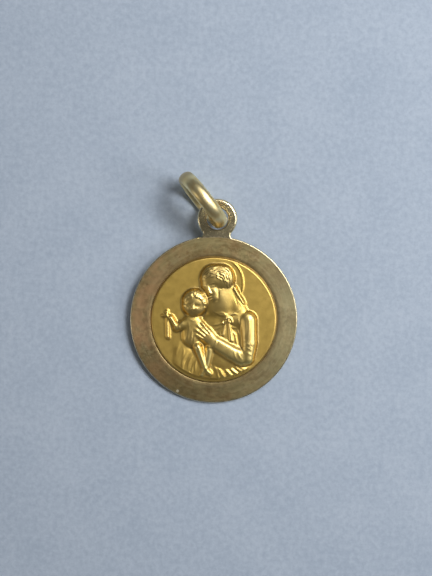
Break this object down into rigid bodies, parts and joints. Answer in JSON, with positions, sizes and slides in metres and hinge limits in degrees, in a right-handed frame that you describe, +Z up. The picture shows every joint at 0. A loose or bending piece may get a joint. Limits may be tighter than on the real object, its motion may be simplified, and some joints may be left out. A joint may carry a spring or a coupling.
{
  "type": "religious medal pendant",
  "caption": "Round gold medal with a raised mother-and-child medallion, a flat rim and a pierced eyelet on a closed jump ring, lying face up.",
  "frame": {"origin": "on the surface that the pendant lies on, under the centre of its outline seen from above", "axes": "+Y from the medal towards its eyelet and ring, +Z up out of the medal's face, +X to the right of the figures as they are looked at"},
  "size_m": [0.018, 0.0246, 0.0071],
  "materials": {
    "struck_gold": "satin yellow gold, tarnished on the rim, brighter on the relief",
    "ring_gold": "polished yellow gold wire, lightly worn"
  },
  "bodies": {
    "root": {"medal": "struck_gold", "jump_ring": "ring_gold"}
  },
  "joints": []
}
